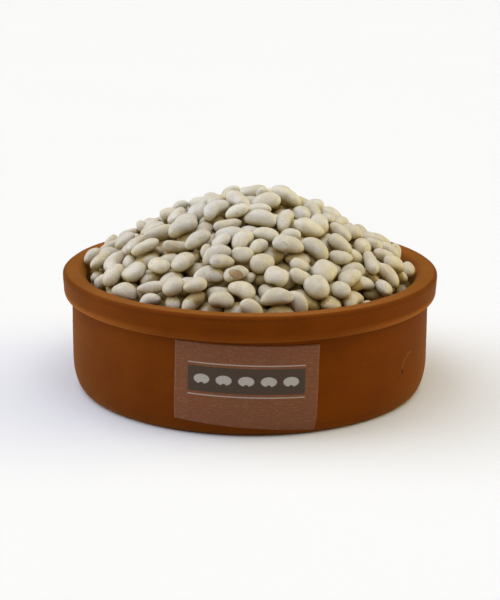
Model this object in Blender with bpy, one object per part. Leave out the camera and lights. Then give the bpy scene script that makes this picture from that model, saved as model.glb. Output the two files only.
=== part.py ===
"""A round terracotta bowl with a thick rim, heaped with dried white beans, and a thin printed label on
the front of its wall.

Units are metres, +Z is up, and the origin is the centre of the bowl's flat foot, which stands on the
table. The label is at the front, towards -Y. The heap is one solid: a smooth body that fills the bowl,
with the beans that show fused onto it.
"""

import math

import bmesh
import bpy
import numpy as np
from mathutils import Matrix, Vector

MM = 0.001
GAP = 0.3 * MM  # clearance between touching pieces

# The bowl, turned about Z.
RIM_RADIUS = 100.0 * MM
BOWL_HEIGHT = 63.3 * MM
WALL_RADIUS = 95.5 * MM  # outside of the wall, under the rim's band
FOOT_RADIUS = 89.0 * MM
CORNER_WIDTH = 6.0 * MM  # the lower corner is an upright quarter ellipse
CORNER_HEIGHT = 16.5 * MM
BAND_BOTTOM = 49.6 * MM  # where the band's underside meets the wall
BAND_LOWER_EDGE = 52.6 * MM
BAND_LEAN = 0.5 * MM  # the band narrows this much towards its lower edge
RIM_OUTER_ROUND = 2.2 * MM
RIM_INNER_ROUND = 4.5 * MM
RIM_WIDTH = 12.0 * MM
WALL_THICKNESS = 8.5 * MM
INNER_CORNER_RADIUS = 14.0 * MM
FLOOR_THICKNESS = 9.0 * MM
BOWL_SEGMENTS = 48

# The heap's outline is a cone with a rounded top and a small peak beside its middle.
HEAP_TOP = 104.5 * MM
HEAP_SLOPE = 0.78
HEAP_ROUNDING = 58.0 * MM
PEAK_HEIGHT = 3.0 * MM
PEAK_PLACE = (14.0 * MM, -4.0 * MM)
PEAK_SPREAD = 16.0 * MM
BED_DEPTH = 22.0 * MM  # the first beans are laid on a smooth bed this far below the outline
BODY_SINK = 3.5 * MM  # the solid body lies this far below the beans' mean height round about
EDGE_RISE = 1.0 * MM  # at the wall it lies this far above it, as small beans fill the groove there
BODY_SEGMENTS = 40
BODY_RINGS = 8
BODY_EDGE = 50.0 * MM

# Each kind of bean: its share, its length and the spread of it, its width and thickness as shares of
# the length, and how far it bends, as a share of the length.
BEAN_KINDS = {
    "round": (0.26, 12.0 * MM, 0.9 * MM, 0.86, 0.60, 0.02),
    "oval": (0.50, 13.6 * MM, 1.1 * MM, 0.69, 0.50, 0.05),
    "long": (0.24, 15.8 * MM, 1.1 * MM, 0.57, 0.45, 0.10),
}
# Large beans laid by hand: kind, x and y in millimetres, turn in degrees, length in millimetres.
HAND_LAID = (
    ("round", -24, -4, 60, 13.5),
    ("oval", -9, -10, -45, 16.5),
    ("oval", 6, -8, 15, 16.0),
    ("long", 15, -1, -15, 17.0),
    ("oval", -32, -14, 0, 14.5),
    ("long", -50, -18, -10, 17.0),
    ("long", -34, -25, 10, 16.5),
    ("oval", -31, -37, 20, 16.0),
    ("long", -11, -40, 8, 16.5),
    ("oval", -4, -46, 60, 14.0),
    ("long", -68, -22, 65, 18.0),
    ("round", -59, -45, -60, 14.5),
    ("long", -55, -31, -5, 16.0),
    ("round", -31, -52, 55, 13.5),
    ("long", -16, -54, 30, 16.0),
    ("oval", -41, -54, -10, 14.0),
    ("long", -24, -65, 8, 17.0),
    ("oval", -13, -63, 25, 13.5),
    ("oval", -6, -71, -25, 14.5),
    ("oval", -26, -71, -5, 12.5),
    ("oval", -19, -78, 0, 14.0),
    ("long", 9, -25, -12, 18.0),
    ("oval", 8, -34, -18, 14.5),
    ("oval", 10, -43, -18, 14.0),
    ("oval", 28, -31, 5, 17.0),
    ("long", 32, -42, -38, 16.5),
    ("round", 44, -20, -45, 14.0),
    ("long", 19, -51, 5, 17.0),
    ("round", 4, -64, 48, 13.0),
    ("round", 14, -70, -20, 12.5),
    ("round", 39, -56, 62, 15.5),
    ("round", 36, -70, -62, 14.0),
    ("oval", 25, -75, -62, 14.5),
    ("long", 15, -79, 8, 16.5),
    ("oval", 49, -57, 30, 14.5),
    ("oval", 48, -37, -5, 15.0),
    ("oval", 71, -15, 10, 14.0),
    ("long", 66, -42, -50, 16.0),
    ("oval", -76, 3, 30, 14.0),
    ("oval", -72, -39, 20, 15.0),
    ("oval", 75, -4, -20, 13.5),
    ("long", 73, -34, -45, 16.0),
    ("long", 80, -13, 25, 16.5),
    ("oval", -82, -12, 40, 14.5),
    ("oval", -79, -31, 15, 11.5),
    ("round", -84, 6, 0, 11.0),
)
BEAN_SEED = 11
MOST_BEANS = 900
PLACES = 400  # places looked at for each bean, of which the lowest are tried
TRIES = 60
SETTLING = ((2, 0.16), (1, 0.08))  # moves in cells and turns in radians as a bean settles
SETTLING_TRIES = 24
MISSES_BEFORE_FULL = 30
CELL = 1.0 * MM  # grid of the height map on which the beans are laid
WALL_CLEARANCE = 0.3 * MM
OVER_THE_LIP = 3.8 * MM  # how far past the wall a bean may reach where it leans on the rim
ON_EDGE_SHARE = 0.15
SPACE_WEIGHT = 1.3  # how much the empty space under a bean counts against its height
UNDER_HAND_LAID = 4.5 * MM  # the bed for the beans laid by hand stops this far below the outline
HAND_LAID_OVER = 4.0 * MM
HAND_LAID_COVER = 0.45
MOST_OVER = 1.5 * MM
MOST_COVER = 0.12  # share of a later bean that may lie over one laid by hand

# The fused beans are those that show most, as shapes of few sides made large enough for their volume.
FUSED_BEANS = 172
BEAN_SIDES = 6
BEAN_RINGS = 3
FACET_SWELL = 1.12
UNDERSIDE_STRETCH = 1.5  # the hidden underside of a fused bean reaches down into the body

# The label: a film wrapped on the wall, its sizes measured along the wall.
LABEL_WIDTH = 72.0 * MM
LABEL_HEIGHT = 43.0 * MM
LABEL_THICKNESS = 0.3 * MM
LABEL_DROP = 23.0 * MM  # from the band's underside down to the label's centre
LABEL_ANGLE = math.radians(-1.0)
LABEL_TILT = math.radians(1.5)
# The film's lower edge slopes down to the right, by this share of the way across.
LABEL_FLARE = 0.06
LABEL_COLUMNS = 14
LABEL_ROWS = 8


def clear_scene():
    for obj in list(bpy.data.objects):
        bpy.data.objects.remove(obj)


def material(name, colour, roughness):
    made = bpy.data.materials.new(name)
    made.use_nodes = True
    shader = made.node_tree.nodes["Principled BSDF"]
    shader.inputs["Base Color"].default_value = (*colour, 1.0)
    shader.inputs["Roughness"].default_value = roughness
    return made


def object_from(name, bm, mat):
    mesh = bpy.data.meshes.new(name)
    bm.to_mesh(mesh)
    bm.free()
    mesh.materials.append(mat)
    mesh.shade_smooth()
    mesh.set_sharp_from_angle(angle=math.radians(40))
    obj = bpy.data.objects.new(name, mesh)
    bpy.context.scene.collection.objects.link(obj)
    return obj


def arc(centre_r, centre_z, width, height, start, end, steps):
    """Points of an elliptical arc in the profile, its angles in degrees from the outward side."""
    angles = [math.radians(start + (end - start) * i / steps) for i in range(steps + 1)]
    return [(centre_r + width * math.cos(a), centre_z + height * math.sin(a)) for a in angles]


def outer_wall():
    """Profile of the wall's outside, from the foot up to the band's underside."""
    centre_r = WALL_RADIUS - CORNER_WIDTH
    corner = arc(centre_r, CORNER_HEIGHT, CORNER_WIDTH, CORNER_HEIGHT, -78, 0, 6)
    return [(FOOT_RADIUS, 0.0), *corner, (WALL_RADIUS - 0.2 * MM, BAND_BOTTOM)]


def bowl_profile():
    """(radius, height) points from the foot's centre up the outside, over the rim and down the inside."""
    band_r = RIM_RADIUS - BAND_LEAN
    band_depth = BAND_LOWER_EDGE - BAND_BOTTOM
    underside = arc(WALL_RADIUS, BAND_LOWER_EDGE, band_r - WALL_RADIUS, band_depth, -75, 0, 3)
    outer_round = RIM_OUTER_ROUND
    shoulder = arc(RIM_RADIUS - outer_round, BOWL_HEIGHT - outer_round, outer_round, outer_round, 0, 90, 3)
    inner_round = RIM_INNER_ROUND
    lip_r = RIM_RADIUS - RIM_WIDTH + inner_round
    lip = arc(lip_r, BOWL_HEIGHT - inner_round, inner_round, inner_round, 90, 180, 4)
    corner = INNER_CORNER_RADIUS
    floor = arc(WALL_RADIUS - WALL_THICKNESS - corner, FLOOR_THICKNESS + corner, corner, corner, 0, -90, 4)
    return [(0.0, 0.0), *outer_wall(), *underside, *shoulder, *lip, *floor, (0.0, FLOOR_THICKNESS)]


def turned(points, segments):
    """A closed bmesh from a profile whose ends lie on the Z axis."""
    bm = bmesh.new()
    verts = [bm.verts.new((r, 0.0, z)) for r, z in points]
    edges = [bm.edges.new(pair) for pair in zip(verts, verts[1:])]
    full = 2 * math.pi
    bmesh.ops.spin(bm, geom=[*verts, *edges], axis=(0, 0, 1), angle=full, steps=segments, use_merge=True)
    bmesh.ops.remove_doubles(bm, verts=bm.verts, dist=0.01 * MM)
    bmesh.ops.recalc_face_normals(bm, faces=bm.faces)
    return bm


def heap_outline(x, y):
    """Height of the heap's outline over a place."""
    spread = np.sqrt(x * x + y * y + HEAP_ROUNDING**2) - HEAP_ROUNDING
    from_peak = (x - PEAK_PLACE[0]) ** 2 + (y - PEAK_PLACE[1]) ** 2
    return HEAP_TOP - HEAP_SLOPE * spread + PEAK_HEIGHT * np.exp(-from_peak / (2 * PEAK_SPREAD**2))


def lip_height(r):
    """Height of the rim's rounded inner edge, where beans may lean on it."""
    from_edge = np.minimum(r - (RIM_RADIUS - RIM_WIDTH + RIM_INNER_ROUND), 0)
    return BOWL_HEIGHT - RIM_INNER_ROUND + np.sqrt(np.clip(RIM_INNER_ROUND**2 - from_edge**2, 0, None))


def draw_half_sizes(rng, kind, length=None):
    """Half of a bean's length, width and thickness."""
    _, usual, spread, width, thickness, _ = BEAN_KINDS[kind]
    long = length or usual + spread * float(np.clip(rng.normal(), -2.2, 2.2))
    wide = long * (width + rng.uniform(-0.05, 0.05))
    thick = long * (thickness + rng.uniform(-0.04, 0.04))
    return np.array([long, wide, thick]) / 2


def rotations(slopes, yaw, roll):
    """Rotation matrices whose columns are a bean's length, width and thickness directions."""
    normals = np.stack([-slopes[:, 0], -slopes[:, 1], np.ones(len(yaw))], -1)
    normals /= np.linalg.norm(normals, axis=-1, keepdims=True)
    flat = np.stack([np.cos(yaw), np.sin(yaw), np.zeros(len(yaw))], -1)
    along = flat - (flat * normals).sum(-1, keepdims=True) * normals
    along /= np.linalg.norm(along, axis=-1, keepdims=True)
    side = np.cross(normals, along)
    c, s = np.cos(roll)[:, None], np.sin(roll)[:, None]
    return np.stack([along, c * side + s * normals, c * normals - s * side], -1)


class Pile:
    """Lays beans one by one on a height map, each in the best of many poses."""

    def __init__(self):
        self.rng = np.random.default_rng(BEAN_SEED)
        self.inside = WALL_RADIUS - WALL_THICKNESS - WALL_CLEARANCE
        self.reach = int(math.ceil(self.inside / CELL)) + 14
        axis = (np.arange(2 * self.reach + 1) - self.reach) * CELL
        self.x, self.y = np.meshgrid(axis, axis, indexing="ij")
        self.outline = heap_outline(self.x, self.y)
        from_axis = np.hypot(self.x, self.y)
        lip = np.where(from_axis > self.inside, lip_height(from_axis) + WALL_CLEARANCE, 0)
        self.ground = np.maximum(self.outline - BED_DEPTH, lip)
        self.lip = from_axis > self.inside
        self.rim = from_axis > self.inside + OVER_THE_LIP
        self.owner = np.full(self.ground.shape, -1)
        self.by_hand = np.zeros(self.ground.shape, bool)
        self.beans = []

    def slopes_at(self, half, ix, iy):
        """Slope of the ground in x and y, averaged over a bean's length."""
        steps = np.arange(-6, 7)
        rows, cols = ix[:, None, None] + steps[:, None], iy[:, None, None] + steps
        dx, dy = steps[:, None] * CELL, steps[None, :] * CELL
        near = (np.hypot(dx, dy) <= half[0] * 0.9)[None] & ~self.lip[rows, cols]
        under = self.ground[rows, cols]
        mean = np.where(near, under, 0).sum((1, 2)) / (near.sum((1, 2)) + 1e-9)
        lift = np.where(near, under - mean[:, None, None], 0)
        down_x = (lift * dx).sum((1, 2)) / ((near * dx * dx).sum((1, 2)) + 1e-12)
        down_y = (lift * dy).sum((1, 2)) / ((near * dy * dy).sum((1, 2)) + 1e-12)
        return np.clip(np.stack([down_x, down_y], -1), -1.6, 1.6)

    def best_rest(self, half, ix, iy, turn, limit, cover):
        """Lets an ellipsoid down at each place: the score of the best, its number and its footprint."""
        window = int(math.ceil(half[0] / CELL))
        steps = np.arange(-window, window + 1)
        dx, dy = np.meshgrid(steps * CELL, steps * CELL, indexing="ij")
        rows, cols = ix[:, None, None] + steps[:, None], iy[:, None, None] + steps
        under = self.ground[rows, cols]
        q = np.einsum("kia,a,kja->kij", turn, 1 / half**2, turn)[:, :, :, None, None]
        linear = q[:, 0, 2] * dx + q[:, 1, 2] * dy
        rest = q[:, 0, 0] * dx * dx + 2 * q[:, 0, 1] * dx * dy + q[:, 1, 1] * dy * dy - 1
        inside_root = linear * linear - q[:, 2, 2] * rest
        hit = inside_root > 0
        root = np.sqrt(np.where(hit, inside_root, 0)) / q[:, 2, 2]
        middle = -linear / q[:, 2, 2]
        height = np.where(hit, under - middle + root, -1).max((1, 2))[:, None, None]
        count = hit.sum((1, 2))
        space = np.where(hit, height + middle - root - under, 0).sum((1, 2)) / count
        over = np.where(hit, height + middle + root - self.outline[rows, cols], -1).max((1, 2))
        bad = (hit & self.rim[rows, cols]).any((1, 2)) | (over > limit)
        bad |= (hit & self.by_hand[rows, cols]).sum((1, 2)) > cover * count
        score = np.where(bad, np.inf, SPACE_WEIGHT * space + over)
        best = int(np.argmin(score))
        top = height[best] + middle[best] + root[best]
        return score[best], best, (rows[best], cols[best], hit[best], top, float(height[best, 0, 0]))

    def lay(self, kind, half, ix, iy, yaw, by_hand=False, limit=MOST_OVER, cover=MOST_COVER):
        """Lays one bean at the best of the places, if it fits at any, and says whether it did."""
        rng = self.rng
        slopes = self.slopes_at(half, ix, iy) + rng.normal(0, 0.2, (len(ix), 2))
        roll = rng.normal(0, 0.22, len(ix))
        if not by_hand:
            on_edge = rng.uniform(0, 1, len(ix)) < ON_EDGE_SHARE
            roll = np.where(on_edge, rng.uniform(0.8, 1.4, len(ix)), roll)
        score, best, place = self.best_rest(half, ix, iy, rotations(slopes, yaw, roll), limit, cover)
        if not np.isfinite(score):
            return False
        pose = (ix[best], iy[best], slopes[best], yaw[best], roll[best])
        for cells, angle in SETTLING:
            n = SETTLING_TRIES
            jx = pose[0] + rng.integers(-cells, cells + 1, n)
            jy = pose[1] + rng.integers(-cells, cells + 1, n)
            tilts = pose[2] + rng.normal(0, angle, (n, 2))
            yaws = pose[3] + rng.normal(0, angle * (0.3 if by_hand else 1.0), n)
            rolls = pose[4] + rng.normal(0, angle, n)
            tried, best, found = self.best_rest(half, jx, jy, rotations(tilts, yaws, rolls), limit, cover)
            if tried < score:
                score, place = tried, found
                pose = (jx[best], jy[best], tilts[best], yaws[best], rolls[best])
        rows, cols, hit, top, height = place
        self.ground[rows, cols] = np.where(hit, top, self.ground[rows, cols])
        self.owner[rows, cols] = np.where(hit, len(self.beans), self.owner[rows, cols])
        self.by_hand[rows, cols] = np.where(hit, by_hand, self.by_hand[rows, cols])
        centre = Vector((self.x[pose[0], 0], self.y[0, pose[1]], height))
        turn = rotations(pose[2][None], np.array([pose[3]]), np.array([pose[4]]))[0]
        self.beans.append((kind, half, centre, Matrix(turn.tolist())))
        return True

    def fill(self, limit, cover):
        """Lays beans drawn at random until no more fit under the outline."""
        rng = self.rng
        kinds = list(BEAN_KINDS)
        shares = [BEAN_KINDS[kind][0] for kind in kinds]
        misses = 0
        while misses < MISSES_BEFORE_FULL and len(self.beans) < MOST_BEANS:
            kind = kinds[rng.choice(len(kinds), p=shares)]
            half = draw_half_sizes(rng, kind)
            r = (self.inside - half[2]) * np.sqrt(rng.uniform(0, 1, PLACES))
            a = rng.uniform(0, 2 * math.pi, PLACES)
            ix = np.rint(r * np.cos(a) / CELL).astype(int) + self.reach
            iy = np.rint(r * np.sin(a) / CELL).astype(int) + self.reach
            depth = self.ground[ix, iy] - self.outline[ix, iy] + rng.uniform(0, 6 * MM, PLACES)
            low = np.argsort(depth)[:TRIES]
            along_wall = a[low] + math.pi / 2 + rng.normal(0, 0.4, TRIES)
            yaw = np.where(r[low] > self.inside - half[0], along_wall, rng.uniform(0, math.pi, TRIES))
            laid = self.lay(kind, half, ix[low], iy[low], yaw, limit=limit, cover=cover)
            misses = 0 if laid else misses + 1

    def lay_by_hand(self):
        rng = self.rng
        for kind, x, y, yaw, length in HAND_LAID:
            half = draw_half_sizes(rng, kind, length * MM)
            ix = round(x * MM / CELL) + self.reach + rng.integers(-1, 2, TRIES)
            iy = round(y * MM / CELL) + self.reach + rng.integers(-1, 2, TRIES)
            yaws = math.radians(yaw) + rng.normal(0, 0.12, TRIES)
            self.lay(kind, half, ix, iy, yaws, True, HAND_LAID_OVER, HAND_LAID_COVER)


    def most_shown(self):
        """The beans, those that show on most cells of the map first."""
        shown = np.bincount(self.owner[self.owner >= 0], minlength=len(self.beans))
        return [self.beans[i] for i in np.argsort(-shown, kind="stable")]

    def level_at(self, x, y):
        """Mean height of the pile round a place."""
        near = (np.hypot(self.x - x, self.y - y) < 8 * MM) & ~self.lip
        return float(self.ground[near].mean())


def laid_pile():
    pile = Pile()
    pile.fill(-UNDER_HAND_LAID, 1.0)
    pile.lay_by_hand()
    pile.fill(MOST_OVER, MOST_COVER)
    return pile


def bean_skin_point(half, bend, along, around):
    """A point of a bean's skin: along runs from -1 to 1 down its length, around is the angle about it."""
    swell = math.sqrt(max(0.0, 1 - along * along)) ** 0.86
    x = half[0] * along
    y = half[1] * swell * math.cos(around) + bend * 2 * half[0] * (0.4 - along * along)
    z = half[2] * swell * math.sin(around)
    return Vector((x, y, z))


def bean_mesh(name, bean):
    """A bean of few sides, in its place on the heap."""
    kind, half, centre, turn = bean
    bend = BEAN_KINDS[kind][5]
    half = half * np.array([1.03, FACET_SWELL, FACET_SWELL])
    bm = bmesh.new()
    loops = []
    for i in range(1, BEAN_RINGS):
        along = -math.cos(math.pi * i / BEAN_RINGS)
        angles = [2 * math.pi * k / BEAN_SIDES for k in range(BEAN_SIDES)]
        loops.append([bm.verts.new(bean_skin_point(half, bend, along, a)) for a in angles])
    for low, high in zip(loops, loops[1:]):
        for k in range(BEAN_SIDES):
            bm.faces.new((low[k], low[k - 1], high[k - 1], high[k]))
    for end, loop in ((-1.0, loops[0]), (1.0, loops[-1])):
        tip = bm.verts.new(bean_skin_point(half, bend, end, 0.0))
        for k in range(BEAN_SIDES):
            bm.faces.new((tip, loop[k], loop[k - 1]))
    bmesh.ops.recalc_face_normals(bm, faces=bm.faces)
    bmesh.ops.triangulate(bm, faces=bm.faces)
    bmesh.ops.transform(bm, matrix=turn.to_4x4(), verts=bm.verts)
    for vert in bm.verts:
        if vert.co.z < 0:
            vert.co.z *= UNDERSIDE_STRETCH
    bmesh.ops.translate(bm, vec=centre, verts=bm.verts)
    inside = WALL_RADIUS - WALL_THICKNESS - WALL_CLEARANCE
    for vert in bm.verts:
        # A bean that leans on the rim is cut off at the wall.
        shrink = min(1.0, inside / math.hypot(vert.co.x, vert.co.y))
        vert.co.x *= shrink
        vert.co.y *= shrink
    mesh = bpy.data.meshes.new(name)
    bm.to_mesh(mesh)
    bm.free()
    return bpy.data.objects.new(name, mesh)


def heap_body(pile):
    """The heap's body fills the bowl less a gap, and follows the pile some way below its beans."""
    inside_r = WALL_RADIUS - WALL_THICKNESS - GAP
    floor = FLOOR_THICKNESS + GAP
    corner = INNER_CORNER_RADIUS
    points = [(0.0, floor), *arc(inside_r - corner, floor + corner, corner, corner, -90, 0, 4)]
    points += [(inside_r * (1 - i / BODY_RINGS), BODY_EDGE) for i in range(BODY_RINGS + 1)]
    bm = turned(points, BODY_SEGMENTS)
    for vert in bm.verts:
        if vert.co.z > BODY_EDGE - GAP:
            at_wall = math.hypot(vert.co.x, vert.co.y) > inside_r - GAP
            vert.co.z = pile.level_at(vert.co.x, vert.co.y) + (EDGE_RISE if at_wall else -BODY_SINK)
    return bm


def shells(bm):
    """The connected shells of a bmesh, as sets of vertices."""
    left = set(bm.verts)
    found = []
    while left:
        stack = [left.pop()]
        shell = set(stack)
        while stack:
            near = {vert for edge in stack.pop().link_edges for vert in edge.verts} & left
            left -= near
            shell |= near
            stack.extend(near)
        found.append(shell)
    return found


def keep_largest_shell(obj):
    """Fills sealed hollows and drops loose scraps."""
    bm = bmesh.new()
    bm.from_mesh(obj.data)
    largest = max(shells(bm), key=len)
    bmesh.ops.delete(bm, geom=[vert for vert in bm.verts if vert not in largest], context="VERTS")
    bm.to_mesh(obj.data)
    bm.free()


def build_heap(mat):
    pile = laid_pile()
    heap = object_from("beans", heap_body(pile), mat)
    pieces = bpy.data.collections.new("fused beans")
    bpy.context.scene.collection.children.link(pieces)
    for i, bean in enumerate(pile.most_shown()[:FUSED_BEANS]):
        pieces.objects.link(bean_mesh(f"bean_{i}", bean))
    join = heap.modifiers.new("join", "BOOLEAN")
    join.operation = "UNION"
    join.operand_type = "COLLECTION"
    join.collection = pieces
    join.solver = "EXACT"
    bpy.context.view_layer.update()
    heap.data = bpy.data.meshes.new_from_object(heap.evaluated_get(bpy.context.evaluated_depsgraph_get()))
    heap.modifiers.clear()
    for obj in list(pieces.objects):
        bpy.data.objects.remove(obj)
    bpy.data.collections.remove(pieces)
    keep_largest_shell(heap)


def down_the_wall(drop):
    """(radius, height, outward r, outward z) of the wall's outside, a distance below the band."""
    points = outer_wall()[::-1]
    for (r0, z0), (r1, z1) in zip(points, points[1:]):
        step = math.hypot(r1 - r0, z1 - z0)
        if drop <= step:
            t = drop / step
            return r0 + (r1 - r0) * t, z0 + (z1 - z0) * t, (z0 - z1) / step, (r1 - r0) / step
        drop -= step
    raise ValueError("the label runs off the wall")


def label_point(u, v, lift):
    """A point of the film: u across and v down from its centre, lifted off the wall."""
    across = u * math.cos(LABEL_TILT) - v * math.sin(LABEL_TILT)
    down = u * math.sin(LABEL_TILT) + v * math.cos(LABEL_TILT)
    r, z, out_r, out_z = down_the_wall(LABEL_DROP + down)
    angle = LABEL_ANGLE + across / WALL_RADIUS
    r += out_r * lift
    return Vector((r * math.sin(angle), -r * math.cos(angle), z + out_z * lift))


def label_sheet(bm, lift):
    grid = []
    for j in range(LABEL_ROWS + 1):
        down = j / LABEL_ROWS
        row = []
        for i in range(LABEL_COLUMNS + 1):
            u = LABEL_WIDTH * (i / LABEL_COLUMNS - 0.5)
            v = LABEL_HEIGHT * (down - 0.5) + LABEL_FLARE * u * down
            row.append(bm.verts.new(label_point(u, v, lift)))
        grid.append(row)
    for a, b in zip(grid, grid[1:]):
        for i in range(LABEL_COLUMNS):
            bm.faces.new((a[i], a[i + 1], b[i + 1]))
            bm.faces.new((a[i], b[i + 1], b[i]))
    return grid


def around_edge(grid):
    """The vertices round a grid's edge, in order."""
    return [*grid[0], *[row[-1] for row in grid[1:]], *grid[-1][-2::-1], *[row[0] for row in grid[-2:0:-1]]]


def build_label(mat):
    bm = bmesh.new()
    inner = around_edge(label_sheet(bm, GAP))
    outer = around_edge(label_sheet(bm, GAP + LABEL_THICKNESS))
    for i in range(len(inner)):
        bm.faces.new((inner[i - 1], inner[i], outer[i]))
        bm.faces.new((inner[i - 1], outer[i], outer[i - 1]))
    bmesh.ops.recalc_face_normals(bm, faces=bm.faces)
    object_from("label", bm, mat)


def build():
    clear_scene()
    terracotta = material("terracotta", (0.27, 0.08, 0.012), 0.75)
    bean_skin = material("bean_skin", (0.70, 0.64, 0.51), 0.5)
    film = material("label_film", (0.28, 0.12, 0.06), 0.45)
    object_from("bowl", turned(bowl_profile(), BOWL_SEGMENTS), terracotta)
    build_heap(bean_skin)
    build_label(film)


build()
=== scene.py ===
"""Dresses the bowl of dried beans: a matt earthenware bowl, loose white beans over a core, and a film
label.

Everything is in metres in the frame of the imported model: +Z up, the bowl's foot on z = 0, its front
towards -Y.
"""

import math

import bpy
import numpy as np
from mathutils import Matrix, Vector


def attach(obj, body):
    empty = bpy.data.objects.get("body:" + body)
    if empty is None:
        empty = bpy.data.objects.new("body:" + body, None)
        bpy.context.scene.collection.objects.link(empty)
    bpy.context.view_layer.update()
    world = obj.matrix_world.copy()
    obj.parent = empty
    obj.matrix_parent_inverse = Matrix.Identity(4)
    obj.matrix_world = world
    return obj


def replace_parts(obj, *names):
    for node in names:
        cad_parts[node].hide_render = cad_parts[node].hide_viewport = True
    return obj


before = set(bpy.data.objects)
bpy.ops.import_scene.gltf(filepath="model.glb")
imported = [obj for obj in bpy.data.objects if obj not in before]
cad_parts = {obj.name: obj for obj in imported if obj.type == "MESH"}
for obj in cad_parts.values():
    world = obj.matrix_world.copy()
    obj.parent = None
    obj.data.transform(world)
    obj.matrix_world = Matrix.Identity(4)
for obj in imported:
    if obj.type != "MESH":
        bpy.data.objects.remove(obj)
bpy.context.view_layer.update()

MM = 0.001


def in_mm(*sizes):
    return tuple(size * MM for size in sizes)


# The bowl, turned about Z, with the same sizes as its solid.
RIM_RADIUS = 100.0 * MM
BOWL_HEIGHT = 63.3 * MM
WALL_RADIUS = 95.5 * MM
FOOT_RADIUS = 89.0 * MM
CORNER_WIDTH = 6.0 * MM
CORNER_HEIGHT = 16.5 * MM
BAND_BOTTOM = 49.6 * MM
BAND_LOWER_EDGE = 52.6 * MM
BAND_LEAN = 0.5 * MM
RIM_OUTER_ROUND = 2.2 * MM
RIM_INNER_ROUND = 4.5 * MM
RIM_WIDTH = 12.0 * MM
WALL_THICKNESS = 8.5 * MM
INSIDE_RADIUS = WALL_RADIUS - WALL_THICKNESS
INNER_CORNER_RADIUS = 14.0 * MM
FLOOR_THICKNESS = 9.0 * MM
BOWL_SEGMENTS = 240
PROFILE_STEP = 0.9 * MM

# The fine rings that turning left: their pitches in millimetres, and the seed of all the wear.
RING_PITCHES = (1.9, 2.7, 4.1, 6.3)
WEAR_SEED = 5

# Round the band: a strip of painted light under it, a dark line on its shoulder with painted shade in the
# crease, and crowded specks. Each gives its height, how far it fades up and down, and the two radii
# between which it sets in.
BOUNCE_LIGHT_STRIP = in_mm(51.6, 3.6, 95.6, 97.0)
SHOULDER_LINE_AND_SHADE = in_mm(61.7, 1.3, 98.6, 99.2)
CROWDED_SPECKS = in_mm(60.5, 5.0, 98.4, 99.0)
# Where the paler clay of the rim's top and the inside ends: two heights and two pairs of radii.
PALE_HEIGHTS = in_mm(61.0, 63.0)
PALE_TOP_EDGE = in_mm(97.4, 99.0)
PALE_INSIDE_EDGE = in_mm(88.5, 94.0)

# Small marks on the wall: degrees round from the front, height, size, and width as a share of height.
PITS = ((54.5, 21.9 * MM, 1.3 * MM, 0.75), (52.2, 19.7 * MM, 0.8 * MM, 1.0))
SMUDGE = (-45.5, 21.2 * MM, 4.6 * MM, 2.2)
# A scratch, the quarter of a circle's line: its centre on the wall, its radius, its half width and the
# way from the centre to its middle.
SCRATCH_CENTRE = (60.3, 20.5 * MM)
SCRATCH_RADIUS = 10.0 * MM
SCRATCH_WIDTH = 0.5 * MM
SCRATCH_WAY = (-0.350, -0.614, 0.707)

# The clay's colours, with painted light under the band and painted shade in the shoulder's crease and
# at the foot. Where there are two, it varies between them.
CLAY = ((0.137, 0.0272, 0.0002), (0.174, 0.0372, 0.0004))
CLAY_BROAD_RING = (0.178, 0.041, 0.0008)
CLAY_FINE_RING = (0.104, 0.0205, 0.0004)
CLAY_PALE = ((0.226, 0.071, 0.011), (0.268, 0.086, 0.017))
CLAY_BOUNCE_LIGHT = (0.38, 0.115, 0.014)
CLAY_SHOULDER_MARK_AND_SHADE = (0.085, 0.020, 0.003)
CLAY_SPECK = (0.12, 0.028, 0.003)
CLAY_GRIT = (0.34, 0.11, 0.008)
CLAY_FOOT_SHADE = (0.07, 0.016, 0.003)
CLAY_SMUDGE = (0.09, 0.03, 0.01)
CLAY_SCRATCH = (0.42, 0.19, 0.06)
CLAY_PIT = (0.035, 0.006, 0.002)
CLAY_SHEEN = (1.0, 0.62, 0.10)

# The heap's outline and the beans in it, the same as in the solid.
HEAP_TOP = 104.5 * MM
HEAP_SLOPE = 0.78
HEAP_ROUNDING = 58.0 * MM
PEAK_HEIGHT = 3.0 * MM
PEAK_PLACE = in_mm(14.0, -4.0)
PEAK_SPREAD = 16.0 * MM
BED_DEPTH = 22.0 * MM
# Each kind of bean: its share, its length and the spread of it, its width and thickness as shares of
# the length, and how far it bends, as a share of the length.
BEAN_KINDS = {
    "round": (0.26, 12.0 * MM, 0.9 * MM, 0.86, 0.60, 0.02),
    "oval": (0.50, 13.6 * MM, 1.1 * MM, 0.69, 0.50, 0.05),
    "long": (0.24, 15.8 * MM, 1.1 * MM, 0.57, 0.45, 0.10),
}
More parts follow.
